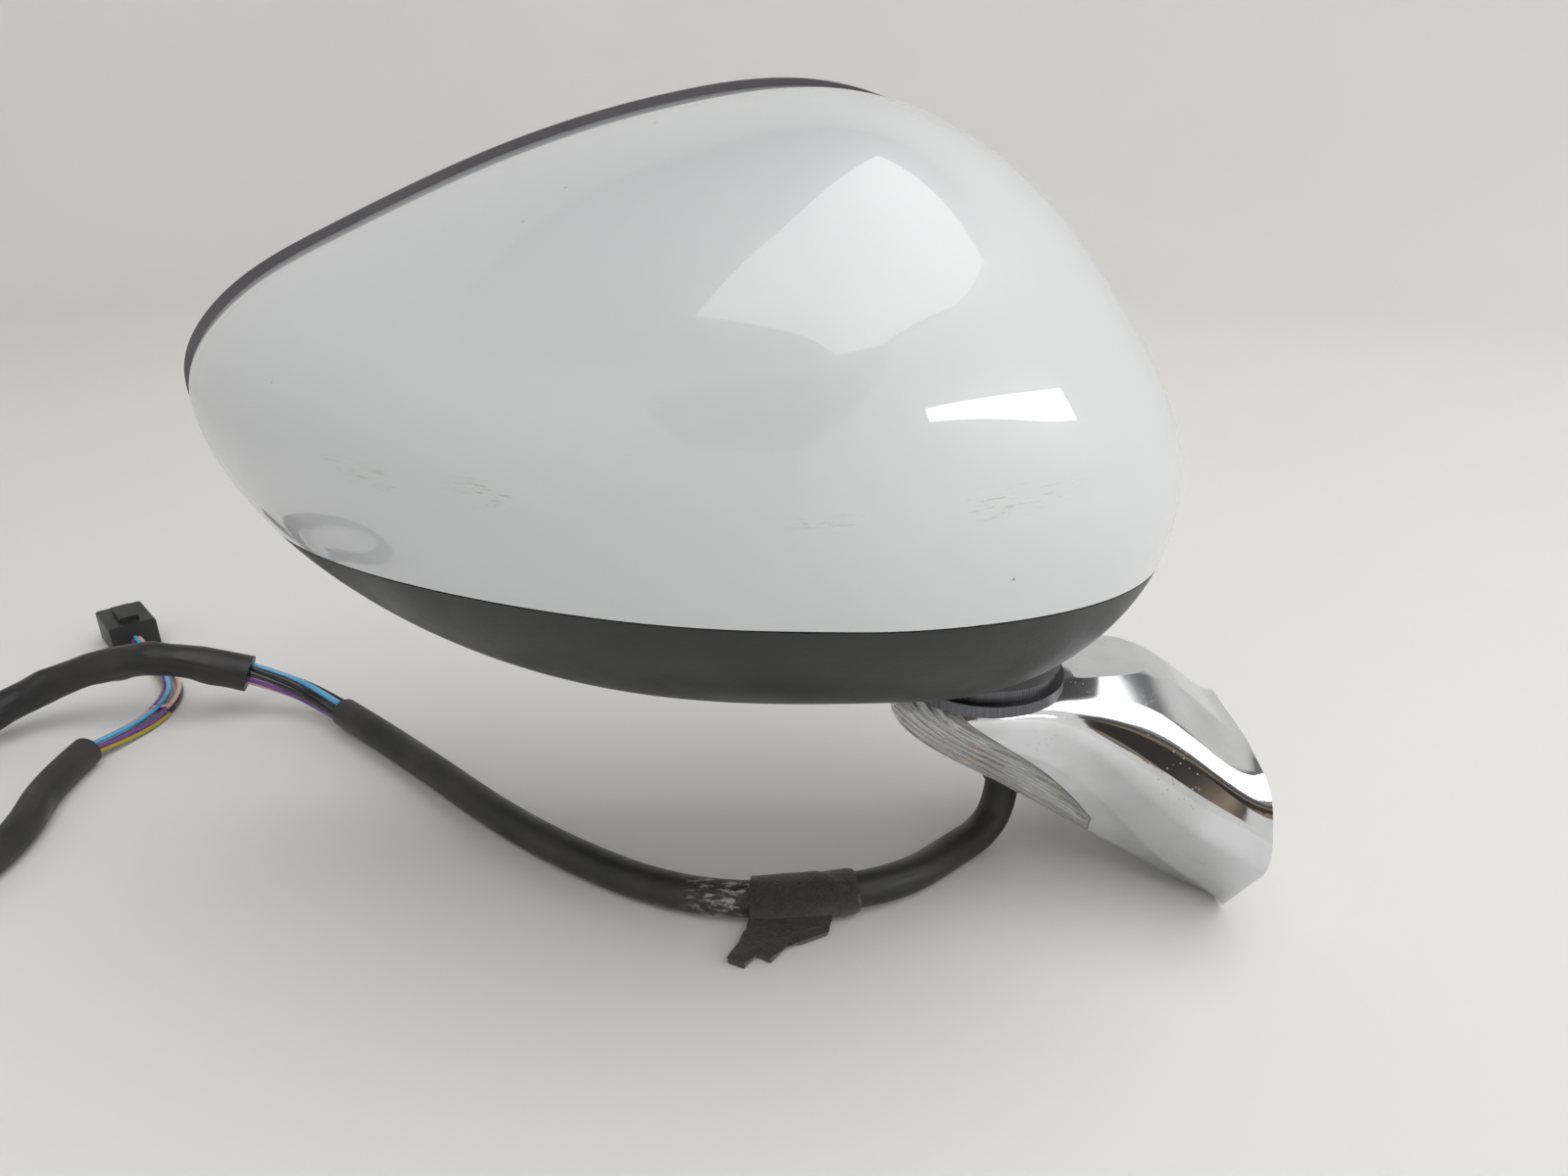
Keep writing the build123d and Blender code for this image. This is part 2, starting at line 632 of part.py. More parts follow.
with BuildPart() as lamp_reflector:
    add(lamp_space)
    add(lens_block(-0.2 - LAMP_WALL), mode=Mode.INTERSECT)
    add(lens_block(-0.2 - 2 * LAMP_WALL), mode=Mode.SUBTRACT)
    add(pad_hole(PAD_R + 0.3, PAD_BOTTOM - 1), mode=Mode.SUBTRACT)
    add(socket_rod(SOCKET_R_LAMP + 0.2), mode=Mode.SUBTRACT)
save(lamp_reflector.part, "lamp_reflector")

with BuildPart() as lamp_bulb:
    with BuildSketch(Plane.YZ.offset(BULB_TIP_X)):
        with Locations((BULB_Y, BULB_Z)):
            Circle(BULB_R)
    extrude(amount=SOCKET_X - BULB_TIP_X)
    with Locations((BULB_TIP_X, BULB_Y, BULB_Z)):
        Sphere(BULB_R)
save(lamp_bulb.part, "lamp_bulb")

with BuildPart() as lamp_socket:
    add(socket_rod(SOCKET_R_LAMP))
save(lamp_socket.part, "lamp_socket")

# ---- foot bracket, gasket and fixings ----
BASE_T = 5.0
BASE_INSET = 5.8
ARM_SECTIONS = {
    -4: (8, 1, 34, 26), -22: (8, 11, 28, 28), -42: (8, 20.5, 20, 17), -58: (2, 28, 16, 6),
}
INSERT_SPOTS = [
    (INSERT_CIRCLE_R * cos(radians(a)), INSERT_CIRCLE_R * sin(radians(a)))
    for a in INSERT_ANGLES
]
SCREW_ROOM_R, SCREW_ROOM_DEPTH = 3.2, 24.0
FOOT_SCREW_SPOTS = ((-19, 9), (28, 5), (42, -4))
with BuildPart() as foot_bracket:
    for x, (y, z, width, height) in ARM_SECTIONS.items():
        with BuildSketch(Plane.YZ.offset(x)):
            with Locations((y, z)):
                Rectangle(width, height)
    loft(ruled=True)
    with BuildSketch(Plane.YZ.offset(-BASE_T)):
        base_points = foot_section(-1, BASE_INSET)
        with BuildLine():
            FilletPolyline(*base_points, radius=corner_rounds(base_points), close=True)
        make_face()
    extrude(amount=BASE_T)
    with BuildSketch(Plane.XY.offset(PAD_BOTTOM)):
        with Locations((AXIS_X, AXIS_Y)):
            Circle(PAD_R)
    extrude(amount=FOOT_TOP - PAD_BOTTOM)
    with BuildSketch(Plane.XY.offset(PAD_BOTTOM)):
        with Locations((AXIS_X, AXIS_Y)):
            Circle(SPINDLE_BORE_R)
    extrude(amount=FOOT_TOP - PAD_BOTTOM, mode=Mode.SUBTRACT)
    with BuildSketch(Plane.YZ.offset(-INSERT_LENGTH)):
        with Locations(*INSERT_SPOTS):
            Circle(INSERT_R + 1.2)
    extrude(amount=INSERT_LENGTH)
    with BuildSketch(Plane.YZ.offset(-INSERT_LENGTH)):
        with Locations(*INSERT_SPOTS):
            Circle(INSERT_R + 0.02)
    extrude(amount=INSERT_LENGTH, mode=Mode.SUBTRACT)
    with BuildSketch(Plane.YZ.offset(-SCREW_ROOM_DEPTH)):
        with Locations(*INSERT_SPOTS):
            Circle(SCREW_ROOM_R)
    extrude(amount=SCREW_ROOM_DEPTH, mode=Mode.SUBTRACT)
    with BuildSketch(Plane.YZ.offset(-3)):
        with Locations(*FOOT_SCREW_SPOTS):
            Circle(3.3)
    extrude(amount=3, mode=Mode.SUBTRACT)
save(foot_bracket.part, "foot_bracket")

with BuildPart() as door_inserts:
    with BuildSketch(Plane.YZ.offset(-INSERT_LENGTH)):
        with Locations(*INSERT_SPOTS):
            Circle(INSERT_R)
            Circle(INSERT_BORE_R, mode=Mode.SUBTRACT)
    extrude(amount=INSERT_LENGTH)
save(door_inserts.part, "door_inserts")

with BuildPart() as foot_screws:
    with BuildSketch(Plane.YZ.offset(-3)):
        with Locations(*FOOT_SCREW_SPOTS):
            Circle(3.1)
    extrude(amount=2.4)
save(foot_screws.part, "foot_screws")

GASKET_T, GASKET_INSET = 1.0, 2.5    # set back, so that the cover's edge hides it
with BuildPart() as foot_gasket:
    for inset, mode in ((GASKET_INSET, Mode.ADD), (BASE_INSET - 0.1, Mode.SUBTRACT)):
        ring_points = foot_section(-1, inset)
        with BuildSketch(Plane.YZ.offset(-GASKET_T)):
            with BuildLine():
                FilletPolyline(*ring_points, radius=corner_rounds(ring_points), close=True)
            make_face()
        extrude(amount=GASKET_T, mode=mode)
    with BuildSketch(Plane.YZ.offset(-GASKET_T)):
        with Locations(*INSERT_SPOTS):
            Circle(INSERT_R + 1.3)       # clears the bosses of the inserts
    extrude(amount=GASKET_T, mode=Mode.SUBTRACT)
save(foot_gasket.part, "foot_gasket")

# ---- harness ----
LOOM_ROUTE = [
    (-51, 16, -5), (-51.3, 15.6, -13.6), (-56.5, 10.5, -18.9), (-65.5, 2.5, -18.9),
    (-76, -7.5, -18.5), (-90, -14.8, -17.4), (-116, -18.8, -17.4), (-139, -12.5, -18.9),
    (-162, 0.5, -18.9), (-184, 17, -18.9), (-205, 36.5, -18.9), (-226, 55.5, -18.9),
    (-245.4, 71.4, -18.4),
]
BARE_ROUTE = [LOOM_ROUTE[-1], (-256, 78.3, -16.9), (-267, 81.6, -13.6), (-277.6, 81.3, -10)]
WRAP_ROUTE = [
    BARE_ROUTE[-1], (-287.5, 79.6, -6.2), (-299, 77.6, -3), (-313, 76.8, -2.6),
    (-330.5, 75, -7.2), (-347, 65.5, -13.4), (-359, 48, -17.6), (-366, 28, -17.8),
]
TAIL_ROUTE = [
    WRAP_ROUTE[-1], (-368, 7, -18.5), (-361.5, -14, -18.9), (-345, -28, -18.9),
    (-324.5, -26.5, -18.9), (-311.5, -10, -18.9), (-309.5, 11, -18.9), (-315.5, 32, -18.9),
    (-314, 50, -18.9),
]
FAN_ROUTE = [
    TAIL_ROUTE[-1], (-310.5, 60, -20.6), (-306.5, 72, -21.3), (-307, 87, -21.3),
    (-315.5, 100.5, -21.3), (-327, 111.5, -21), (-336.5, 121.5, -19),
]


def route_rounds(points):
    """Radius at each inner point: 0.45 of the shorter run over the tangent of half the turn."""
    rounds = []
    for before, here, after in zip(points, points[1:], points[2:]):
        run_in, run_out = Vector(*here) - Vector(*before), Vector(*after) - Vector(*here)
        half_turn = radians(run_in.get_angle(run_out) / 2)
        rounds.append(0.45 * min(run_in.length, run_out.length) / tan(half_turn))
    return rounds


def tube(name, points, diameter):
    """Plain tube along the route, its ends square to the first and last runs."""
    rounds = route_rounds(points)
    with BuildPart() as cord:
        with BuildLine() as path:
            FilletPolyline(*points, radius=rounds)
        with BuildSketch(Plane(origin=path.line @ 0, z_dir=path.line % 0)):
            Circle(diameter / 2)
        sweep()
    length = sum(edge.length for edge in path.edges())
    ratio = cord.part.volume / (length * pi * diameter ** 2 / 4)
    print(name, "length", round(length, 1), "volume ratio", round(ratio, 4),
          "radii", [round(r, 1) for r in rounds])
    save(cord.part, name)


tube("harness_loom", LOOM_ROUTE, LOOM_D)
tube("harness_bare_wires", BARE_ROUTE, BARE_D)
tube("harness_wrap", WRAP_ROUTE, WRAP_D)
tube("harness_tail", TAIL_ROUTE, LOOM_D)
tube("harness_fan", FAN_ROUTE, FAN_D)

# Rubber grommet round the loom, tapering as it leaves the foot.
with BuildPart() as cable_grommet:
    with BuildSketch(Plane.XY.offset(GROMMET_TOP)):
        with Locations((EXIT_X, EXIT_Y)):
            Circle(GROMMET_R)
    with BuildSketch(Plane.XY.offset(LOOM_ROUTE[0][2])):
        with Locations((EXIT_X, EXIT_Y)):
            Circle(LOOM_D / 2 + 0.6)
    loft()
    with BuildSketch(Plane.XY.offset(GROMMET_TOP)):
        with Locations((EXIT_X, EXIT_Y)):
            Circle(GROMMET_R - 1.7)
    extrude(amount=9)
save(cable_grommet.part, "cable_grommet")

# Foam tape wound round the loom, with its loose end torn off.
SLEEVE_R = 5.9
SLEEVE_FROM, SLEEVE_TO = Vector(-91, -15, -17.4), Vector(-114, -18.5, -17.4)
with BuildPart() as foam_sleeve:
    with BuildSketch(Plane(origin=SLEEVE_FROM, z_dir=SLEEVE_TO - SLEEVE_FROM)):
        Circle(SLEEVE_R)
    extrude(amount=(SLEEVE_TO - SLEEVE_FROM).length)
    with BuildSketch(Plane.XY.offset(FLOOR_Z)):
        with BuildLine():
            Polyline((-97, -19), (-112, -34), (-117, -32.5), (-118, -36), (-122, -33), (-112, -21),
                     close=True)
        make_face()
    extrude(amount=4.2)
    with BuildSketch(Plane(origin=SLEEVE_FROM, z_dir=SLEEVE_TO - SLEEVE_FROM)):
        Circle(LOOM_D / 2)
    extrude(amount=30, both=True, mode=Mode.SUBTRACT)
save(foam_sleeve.part, "foam_sleeve")

PLUG_ALONG = Vector(-0.66, 0.75, 0)
PLUG_START = Vector(*FAN_ROUTE[-1])
PLUG_LENGTH, PLUG_WIDTH, PLUG_HEIGHT = 19.0, 15.0, 11.0
plug_middle = Vector(PLUG_START.X, PLUG_START.Y, FLOOR_Z + PLUG_HEIGHT / 2)
with BuildPart() as harness_connector:
    with BuildSketch(Plane(origin=plug_middle, x_dir=(0.75, 0.66, 0), z_dir=PLUG_ALONG)):
        RectangleRounded(PLUG_WIDTH, PLUG_HEIGHT, 1)
    extrude(amount=PLUG_LENGTH)
    with BuildSketch(Plane(origin=plug_middle + PLUG_ALONG * PLUG_LENGTH,
                           x_dir=(0.75, 0.66, 0), z_dir=PLUG_ALONG)):
        with GridLocations(3.0, 3.2, 4, 2):
            Rectangle(1.8, 1.8)
    extrude(amount=-6, mode=Mode.SUBTRACT)
save(harness_connector.part, "harness_connector")

with BuildPart() as connector_lock:
    with BuildSketch(Plane(origin=plug_middle + PLUG_ALONG * 3 + Vector(0, 0, PLUG_HEIGHT / 2 + 0.9),
                           x_dir=(0.75, 0.66, 0), z_dir=PLUG_ALONG)):
        Rectangle(6, 1.8)
    extrude(amount=12)
save(connector_lock.part, "connector_lock")
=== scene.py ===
import json
from math import cos, exp, pi, radians, sin

import bmesh
import bpy
import numpy as np
from mathutils import Matrix, Vector, noise


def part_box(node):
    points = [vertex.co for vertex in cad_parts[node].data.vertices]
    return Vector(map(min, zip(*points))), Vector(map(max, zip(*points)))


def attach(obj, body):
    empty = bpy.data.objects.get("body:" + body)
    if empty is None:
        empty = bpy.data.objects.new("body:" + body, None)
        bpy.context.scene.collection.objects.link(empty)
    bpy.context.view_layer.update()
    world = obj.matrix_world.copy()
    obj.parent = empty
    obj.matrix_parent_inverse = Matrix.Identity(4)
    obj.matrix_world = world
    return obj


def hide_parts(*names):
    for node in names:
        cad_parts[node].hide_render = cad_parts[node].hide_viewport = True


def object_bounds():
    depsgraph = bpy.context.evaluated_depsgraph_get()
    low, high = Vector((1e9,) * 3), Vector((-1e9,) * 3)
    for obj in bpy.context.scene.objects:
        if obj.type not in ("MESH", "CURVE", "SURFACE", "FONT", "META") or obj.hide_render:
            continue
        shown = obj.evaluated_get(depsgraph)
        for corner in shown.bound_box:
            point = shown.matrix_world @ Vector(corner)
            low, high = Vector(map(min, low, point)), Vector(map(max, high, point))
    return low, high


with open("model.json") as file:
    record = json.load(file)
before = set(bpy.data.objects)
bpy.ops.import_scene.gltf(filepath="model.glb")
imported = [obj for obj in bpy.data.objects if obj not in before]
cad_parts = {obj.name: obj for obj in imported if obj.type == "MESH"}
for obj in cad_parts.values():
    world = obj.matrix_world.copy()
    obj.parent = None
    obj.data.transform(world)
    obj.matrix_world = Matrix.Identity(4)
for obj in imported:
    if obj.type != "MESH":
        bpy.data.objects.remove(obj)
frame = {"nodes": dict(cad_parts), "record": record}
cad_box = [list(corner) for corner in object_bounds()]
MM = 0.001


# ---------------------------------------------------------------- small helpers
def mm(points):
    """Points in millimetres as points in metres."""
    return [Vector(p) * MM for p in points]


def new_object(name, data):
    obj = bpy.data.objects.new(name, data)
    bpy.context.scene.collection.objects.link(obj)
    return obj


def mesh_object(name, verts, faces, sharp_angle=40):
    """Smooth-shaded mesh with edges sharper than the angle kept crisp."""
    mesh = bpy.data.meshes.new(name)
    mesh.from_pydata([tuple(v) for v in verts], [], faces)
    mesh.update()
    mesh.shade_smooth()
    mesh.set_sharp_from_angle(angle=radians(sharp_angle))
    return new_object(name, mesh)


def apply_modifiers(obj):
    """Replaces the object's mesh with its evaluated mesh."""
    evaluated = obj.evaluated_get(bpy.context.evaluated_depsgraph_get())
    mesh = bpy.data.meshes.new_from_object(evaluated)
    obj.modifiers.clear()
    obj.data = mesh


# ---------------------------------------------------------------- materials
class Look:
    """Principled material whose colour, roughness and bump come from nodes."""

    def __init__(self, name, roughness=0.5, metallic=0.0, **sockets):
        self.material = bpy.data.materials.new(name)
        self.material.use_nodes = True
        self.tree = self.material.node_tree
        self.shader = self.tree.nodes["Principled BSDF"]
        self.shader.inputs["Roughness"].default_value = roughness
        self.shader.inputs["Metallic"].default_value = metallic
        for socket, value in sockets.items():
            self.shader.inputs[socket.replace("_", " ")].default_value = value
        self.place = self.tree.nodes.new("ShaderNodeTexCoord").outputs["Object"]
        self.height = None

    def node(self, kind, **values):
        made = self.tree.nodes.new("ShaderNode" + kind)
        for key, value in values.items():
            setattr(made, key, value)
        return made

    def link(self, source, target):
        self.tree.links.new(source, target)

    def stretched(self, scale, turn=(0, 0, 0)):
        """Object coordinates, scaled along each axis and then turned."""
        mapping = self.node("Mapping")
        mapping.inputs["Scale"].default_value = scale
        mapping.inputs["Rotation"].default_value = turn
        self.link(self.place, mapping.inputs["Vector"])
        return mapping.outputs["Vector"]

    def noise(self, scale, detail=3.0, place=None, rough=0.5):
        tex = self.node("TexNoise")
        tex.inputs["Scale"].default_value = scale
        tex.inputs["Detail"].default_value = detail
        tex.inputs["Roughness"].default_value = rough
        self.link(place or self.place, tex.inputs["Vector"])
        return tex.outputs["Fac"]

    def specks(self, scale, size, place=None):
        """One in the middle of each cell, falling to nothing at the size given."""
        tex = self.node("TexVoronoi")
        tex.inputs["Scale"].default_value = scale
        self.link(place or self.place, tex.inputs["Vector"])
        return self.span(tex.outputs["Distance"], size, 0.0)

    def span(self, value, low, high, to_low=0.0, to_high=1.0):
        """Maps low..high to to_low..to_high, clamped."""
        ranged = self.node("MapRange")
        for socket, number in (("From Min", low), ("From Max", high),
                               ("To Min", to_low), ("To Max", to_high)):
            ranged.inputs[socket].default_value = number
        self.link(value, ranged.inputs["Value"])
        return ranged.outputs["Result"]

    def math(self, kind, a, b=0.0):
        made = self.node("Math", operation=kind)
        for socket, value in zip(made.inputs, (a, b)):
            if isinstance(value, (int, float)):
                socket.default_value = value
            else:
                self.link(value, socket)
        return made.outputs["Value"]

    def axis(self, name):
        parts = self.node("SeparateXYZ")
        self.link(self.place, parts.inputs["Vector"])
        return parts.outputs[name]

    def band(self, name, low, high, soft):
        """One between two positions on an axis, soft at both ends."""
        place = self.axis(name)
        rise = self.span(place, low - soft, low + soft)
        fall = self.span(place, high - soft, high + soft, 1.0, 0.0)
        return self.math("MULTIPLY", rise, fall)

    def blend_colours(self, mask, first, second):
        mix = self.node("Mix", data_type="RGBA")
        self.link(mask, mix.inputs["Factor"])
        for index, colour in ((6, first), (7, second)):
            if isinstance(colour, tuple):
                mix.inputs[index].default_value = (*colour, 1.0)
            else:
                self.link(colour, mix.inputs[index])
        return mix.outputs[2]

    def colour(self, value):
        self.link(value, self.shader.inputs["Base Color"])
        return self

    def rough(self, value):
        self.link(value, self.shader.inputs["Roughness"])
        return self

    def bump(self, height, distance, strength=1.0):
        made = self.node("Bump")
        made.inputs["Strength"].default_value = strength
        made.inputs["Distance"].default_value = distance
        self.link(height, made.inputs["Height"])
        if self.height is not None:
            self.link(self.height, made.inputs["Normal"])
        self.height = made.outputs["Normal"]
        self.link(self.height, self.shader.inputs["Normal"])
        return self


def moulded(name, dark, light, roughness, grain=900, depth=0.00004, **sockets):
    """Moulded plastic: fine grain, faint cloudiness and dust."""
    look = Look(name, roughness, **sockets)
    clouds = look.span(look.noise(22, 4), 0.35, 0.7)
    look.colour(look.blend_colours(clouds, dark, light))
    look.rough(look.span(look.noise(60, 4), 0.3, 0.7, roughness - 0.06, roughness + 0.08))
    look.bump(look.noise(grain, 2), depth)
    return look


def metal(name, dark, light, roughness, streak=(300, 300, 12), depth=0.00003):
    """Bare metal with fine tool marks along one axis."""
    look = Look(name, roughness, 1.0)
    marks = look.noise(9, 4, look.stretched(streak))
    look.colour(look.blend_colours(look.span(marks, 0.3, 0.7), dark, light))
    look.rough(look.span(marks, 0.3, 0.7, roughness - 0.06, roughness + 0.1))
    look.bump(marks, depth)
    return look


def paint_look():
    """White clear-coated paint with scuffs and specks."""
    look = Look("white_paint", 0.32, Coat_Weight=1.0, Coat_Roughness=0.025, Coat_IOR=1.5)
    tone = look.span(look.noise(5, 2), 0.3, 0.7)
    base = look.blend_colours(tone, PAINT_LOW, PAINT_HIGH)
    streaks = look.noise(1, 4, look.stretched((190, 120, 2600), (0, radians(5), 0)), 0.75)
    patches = look.noise(38, 2)
    worn = look.math("MULTIPLY", look.span(streaks, 0.55, 0.66), look.span(patches, 0.46, 0.58))
    high_band = look.math("MULTIPLY", look.band("Z", 0.0942, 0.0985, 0.0012),
                          look.band("X", -0.190, -0.062, 0.008))
    front = look.span(look.axis("Y"), -0.01, -0.02)
    scuffed = look.math("MULTIPLY", look.math("MULTIPLY", worn, high_band), front)
    base = look.blend_colours(look.math("MULTIPLY", scuffed, 0.75), base, (0.25, 0.215, 0.15))
    chosen = look.span(look.noise(40, 0), 0.60, 0.62)
    dots = look.math("MULTIPLY", look.specks(150, 0.07), chosen)
    base = look.blend_colours(dots, base, (0.08, 0.07, 0.06))
    return look.colour(base).bump(look.noise(260, 1), 0.000012, 0.6)


def chrome_look():
    """Plated plastic, with fine pitting and a slight haze."""
    look = Look("chrome", 0.06, 1.0)
    haze = look.span(look.noise(70, 5), 0.45, 0.8)
    base = look.blend_colours(haze, (0.79, 0.80, 0.81), (0.66, 0.66, 0.66))
    chosen = look.span(look.noise(90, 1), 0.54, 0.58)
    pits = look.math("MULTIPLY", look.specks(900, 0.16), chosen)
    base = look.blend_colours(pits, base, (0.10, 0.09, 0.08))
    look.colour(base)
    look.rough(look.span(look.noise(35, 5), 0.35, 0.75, 0.04, 0.17))
    return look.bump(look.noise(45, 1), 0.00005, 0.5).bump(pits, 0.00006)


FLUTE_PITCH = 0.0019
FLUTE_ACROSS = (0.58, 0.81)     # direction (X, Z) square to the flutes


def lens_look():
    """Clear plastic, with shallow flutes that run along its sloping lower edge."""
    look = Look("clear_lens", 0.03, Transmission_Weight=0.82, IOR=1.49)
    tint = look.span(look.noise(60, 3), 0.4, 0.7)
    look.colour(look.blend_colours(tint, (0.99, 0.99, 0.98), (0.94, 0.94, 0.92)))
    look.rough(look.span(look.noise(150, 3), 0.4, 0.8, 0.02, 0.09))
    across = look.math("ADD", look.math("MULTIPLY", look.axis("X"), FLUTE_ACROSS[0]),
                       look.math("MULTIPLY", look.axis("Z"), FLUTE_ACROSS[1]))
    flutes = look.math("SINE", look.math("MULTIPLY", across, 2 * pi / FLUTE_PITCH))
    return look.bump(flutes, 0.00022, 0.8)


def sheath_look(name, scuff_from, scuff_to):
    """Black PVC sheath, satin, worn grey between two X positions."""
    look = Look(name, 0.42, Specular_IOR_Level=0.45)
    clouds = look.span(look.noise(55, 4), 0.35, 0.7)
    base = look.blend_colours(clouds, (0.017, 0.016, 0.016), (0.036, 0.034, 0.032))
    scrapes = look.span(look.noise(1, 4, look.stretched((260, 900, 900)), 0.65), 0.50, 0.62)
    worn = look.math("MULTIPLY", scrapes, look.band("X", scuff_from, scuff_to, 0.004))
    look.colour(look.blend_colours(worn, base, (0.30, 0.27, 0.24)))
    look.rough(look.span(look.noise(90, 3), 0.3, 0.7, 0.33, 0.52))
    return look.bump(look.noise(160, 4), 0.00018, 0.7)


def wire_look(name, colour):
    """Wire insulation: shiny, a little dusty."""
    look = Look(name, 0.24, Coat_Weight=0.3, Coat_Roughness=0.1)
    dust = look.span(look.noise(300, 3), 0.5, 0.8, 0.0, 0.35)
    look.colour(look.blend_colours(dust, colour, tuple(0.6 * c + 0.06 for c in colour)))
    return look.bump(look.noise(700, 2), 0.00003, 0.5)


def foam_look():
    """Open-cell foam, dark and dull."""
    look = Look("foam_tape", 0.95, Sheen_Weight=0.25, Sheen_Roughness=0.6)
    cells = look.noise(1500, 3, rough=0.7)
    shade = look.span(cells, 0.35, 0.7)
    look.colour(look.blend_colours(shade, (0.008, 0.0075, 0.006), (0.034, 0.030, 0.024)))
    return look.bump(cells, 0.0003).bump(look.noise(220, 3), 0.0006, 0.7)


PAINT_LOW, PAINT_HIGH = (0.600, 0.620, 0.622), (0.650, 0.668, 0.672)
LOOKS = {
    "white_paint": paint_look(),
    "black_plastic": moulded("black_plastic", (0.012, 0.012, 0.012), (0.019, 0.019, 0.018), 0.40),
    "bezel_plastic": moulded("bezel_plastic", (0.085, 0.080, 0.088), (0.120, 0.115, 0.122), 0.36),
    "frame_plastic": moulded("frame_plastic", (0.030, 0.030, 0.031), (0.050, 0.050, 0.050), 0.55,
                             500, 0.00008),
    "nylon": moulded("nylon", (0.62, 0.60, 0.53), (0.72, 0.70, 0.62), 0.45, 500, 0.00005),
    "steel": metal("steel", (0.42, 0.42, 0.43), (0.62, 0.62, 0.63), 0.28),
    "dark_steel": metal("dark_steel", (0.10, 0.10, 0.11), (0.20, 0.20, 0.21), 0.42),
    "cast_alloy": metal("cast_alloy", (0.46, 0.46, 0.47), (0.60, 0.60, 0.61), 0.5,
                        (160, 160, 160), 0.0001),
    "heater_foil": moulded("heater_foil", (0.42, 0.30, 0.12), (0.55, 0.42, 0.20), 0.4),
    "mirror_glass": metal("mirror_glass", (0.76, 0.79, 0.83), (0.84, 0.86, 0.89), 0.07,
                          (20, 20, 20), 0.000002),
    "chrome": chrome_look(),
    "rubber": moulded("rubber", (0.020, 0.020, 0.020), (0.034, 0.033, 0.032), 0.7, 700, 0.0001),
    "clear_lens": lens_look(),
    "amber_glass": moulded("amber_glass", (0.75, 0.26, 0.02), (0.90, 0.40, 0.05), 0.2, 400, 0.00001),
    "loom_sheath": sheath_look("loom_sheath", -0.130, -0.113),
    "wrap_tape": sheath_look("wrap_tape", -0.375, -0.350),
    "foam_tape": foam_look(),
    "connector_plastic": moulded("connector_plastic", (0.012, 0.012, 0.012), (0.026, 0.026, 0.026), 0.42),
}
WIRE_COLOURS = {
    "black": (0.012, 0.012, 0.013), "blue": (0.10, 0.42, 0.72), "purple": (0.16, 0.05, 0.25),
    "pink": (0.72, 0.42, 0.36), "olive": (0.42, 0.33, 0.03), "grey": (0.28, 0.28, 0.27),
}
WIRES = {name: wire_look("wire_" + name, colour) for name, colour in WIRE_COLOURS.items()}


def dress(obj, slot):
    """Gives a new piece its finish."""
    obj.data.materials.clear()
    obj.data.materials.append(LOOKS[slot].material)


# Every carried node gets the finish of its slot in the record.
for part in frame["record"]["subparts"]:
    node = frame["nodes"][part["node"]]
    if part["material_slot"] in LOOKS:
        for held in node.material_slots:
            held.material = LOOKS[part["material_slot"]].material


# ---------------------------------------------------------------- head shells
# The outline of the rear rim (X, Z) and the depth formula are the part's own, in millimetres.
RIM_POINTS = [
    (-250.6, 97.5), (-240.9, 112.2), (-211.2, 129.8), (-169.4, 147.3), (-129.6, 158.2), (-96, 160),
    (-64, 145.5), (-38, 117), (-22, 86), (-27, 60), (-52, 40.5), (-95, 34.8),
    (-145, 35.2), (-192, 42), (-226, 56.5), (-246, 77),
]
HEAD_CX, HEAD_CZ = -137.0, 95.0
APEX_SHIFT_X, APEX_SHIFT_Z = 29.0, 1.0
RIM_Y, DOME_DEPTH = 34.0, 95.0
SHELL_WALL, SEAM_GAP = 2.4, 0.34
SEAM_POINTS = [(-270, 62), (-192, 72), (-120, 74), (-60, 71.5), (10, 60)]
OUTLINE_COUNT, DEPTH_COUNT = 300, 110


def curve_through(points, count, closed):
    """Smooth cubic through the points, evenly sampled by chord length."""
    pts = np.array(points, float)
    total = len(pts)
    ahead = np.roll(pts, -1, axis=0)
    run = np.linalg.norm(ahead - pts, axis=1)
    matrix, right = np.eye(total), np.zeros((total, 2))
    for i in range(total) if closed else range(1, total - 1):
        a, b, nxt = run[i - 1], run[i], (i + 1) % total
        matrix[i] = 0
        matrix[i, i - 1] += a
        matrix[i, i] += 2 * (a + b)
        matrix[i, nxt] += b
        right[i] = 6 * ((pts[nxt] - pts[i]) / b - (pts[i] - pts[i - 1]) / a)
    bend = np.linalg.solve(matrix, right)
    spans = total if closed else total - 1
    start = np.concatenate([[0], np.cumsum(run[:spans])])
    made = []
    for u in np.linspace(0, start[-1], count, endpoint=not closed):
        i = min(int(np.searchsorted(start, u, "right")) - 1, spans - 1)
        j, h = (i + 1) % total, run[i]
        left, gone = start[i + 1] - u, u - start[i]
        made.append((bend[i] * left ** 3 + bend[j] * gone ** 3) / (6 * h)
                    + (pts[i] / h - bend[i] * h / 6) * left + (pts[j] / h - bend[j] * h / 6) * gone)
    return np.array(made)


def dome_row(step):
    """Head outline at one depth step, as points in millimetres."""
    shrink_x = max(1 - step ** 1.8, 0) ** (1 / 1.8)
    shrink_top = max(1 - step ** 2.4, 0) ** 0.5
    shrink_bottom = max(1 - step ** 3.4, 0) ** 0.5
    outline = [
        (HEAD_CX + APEX_SHIFT_X * step + (x - HEAD_CX) * shrink_x,
         HEAD_CZ + APEX_SHIFT_Z * step + (z - HEAD_CZ) * (shrink_top if z > HEAD_CZ else shrink_bottom))
        for x, z in RIM_POINTS
    ]
    ring = curve_through(outline, OUTLINE_COUNT, closed=True)
    return [(x, RIM_Y - DOME_DEPTH * step, z) for x, z in ring]


SEAM = curve_through(SEAM_POINTS, 400, closed=False)


def seam_height(x):
    """Height of the seam at an X, both in metres."""
    return float(np.interp(x / MM, SEAM[:, 0], SEAM[:, 1])) * MM


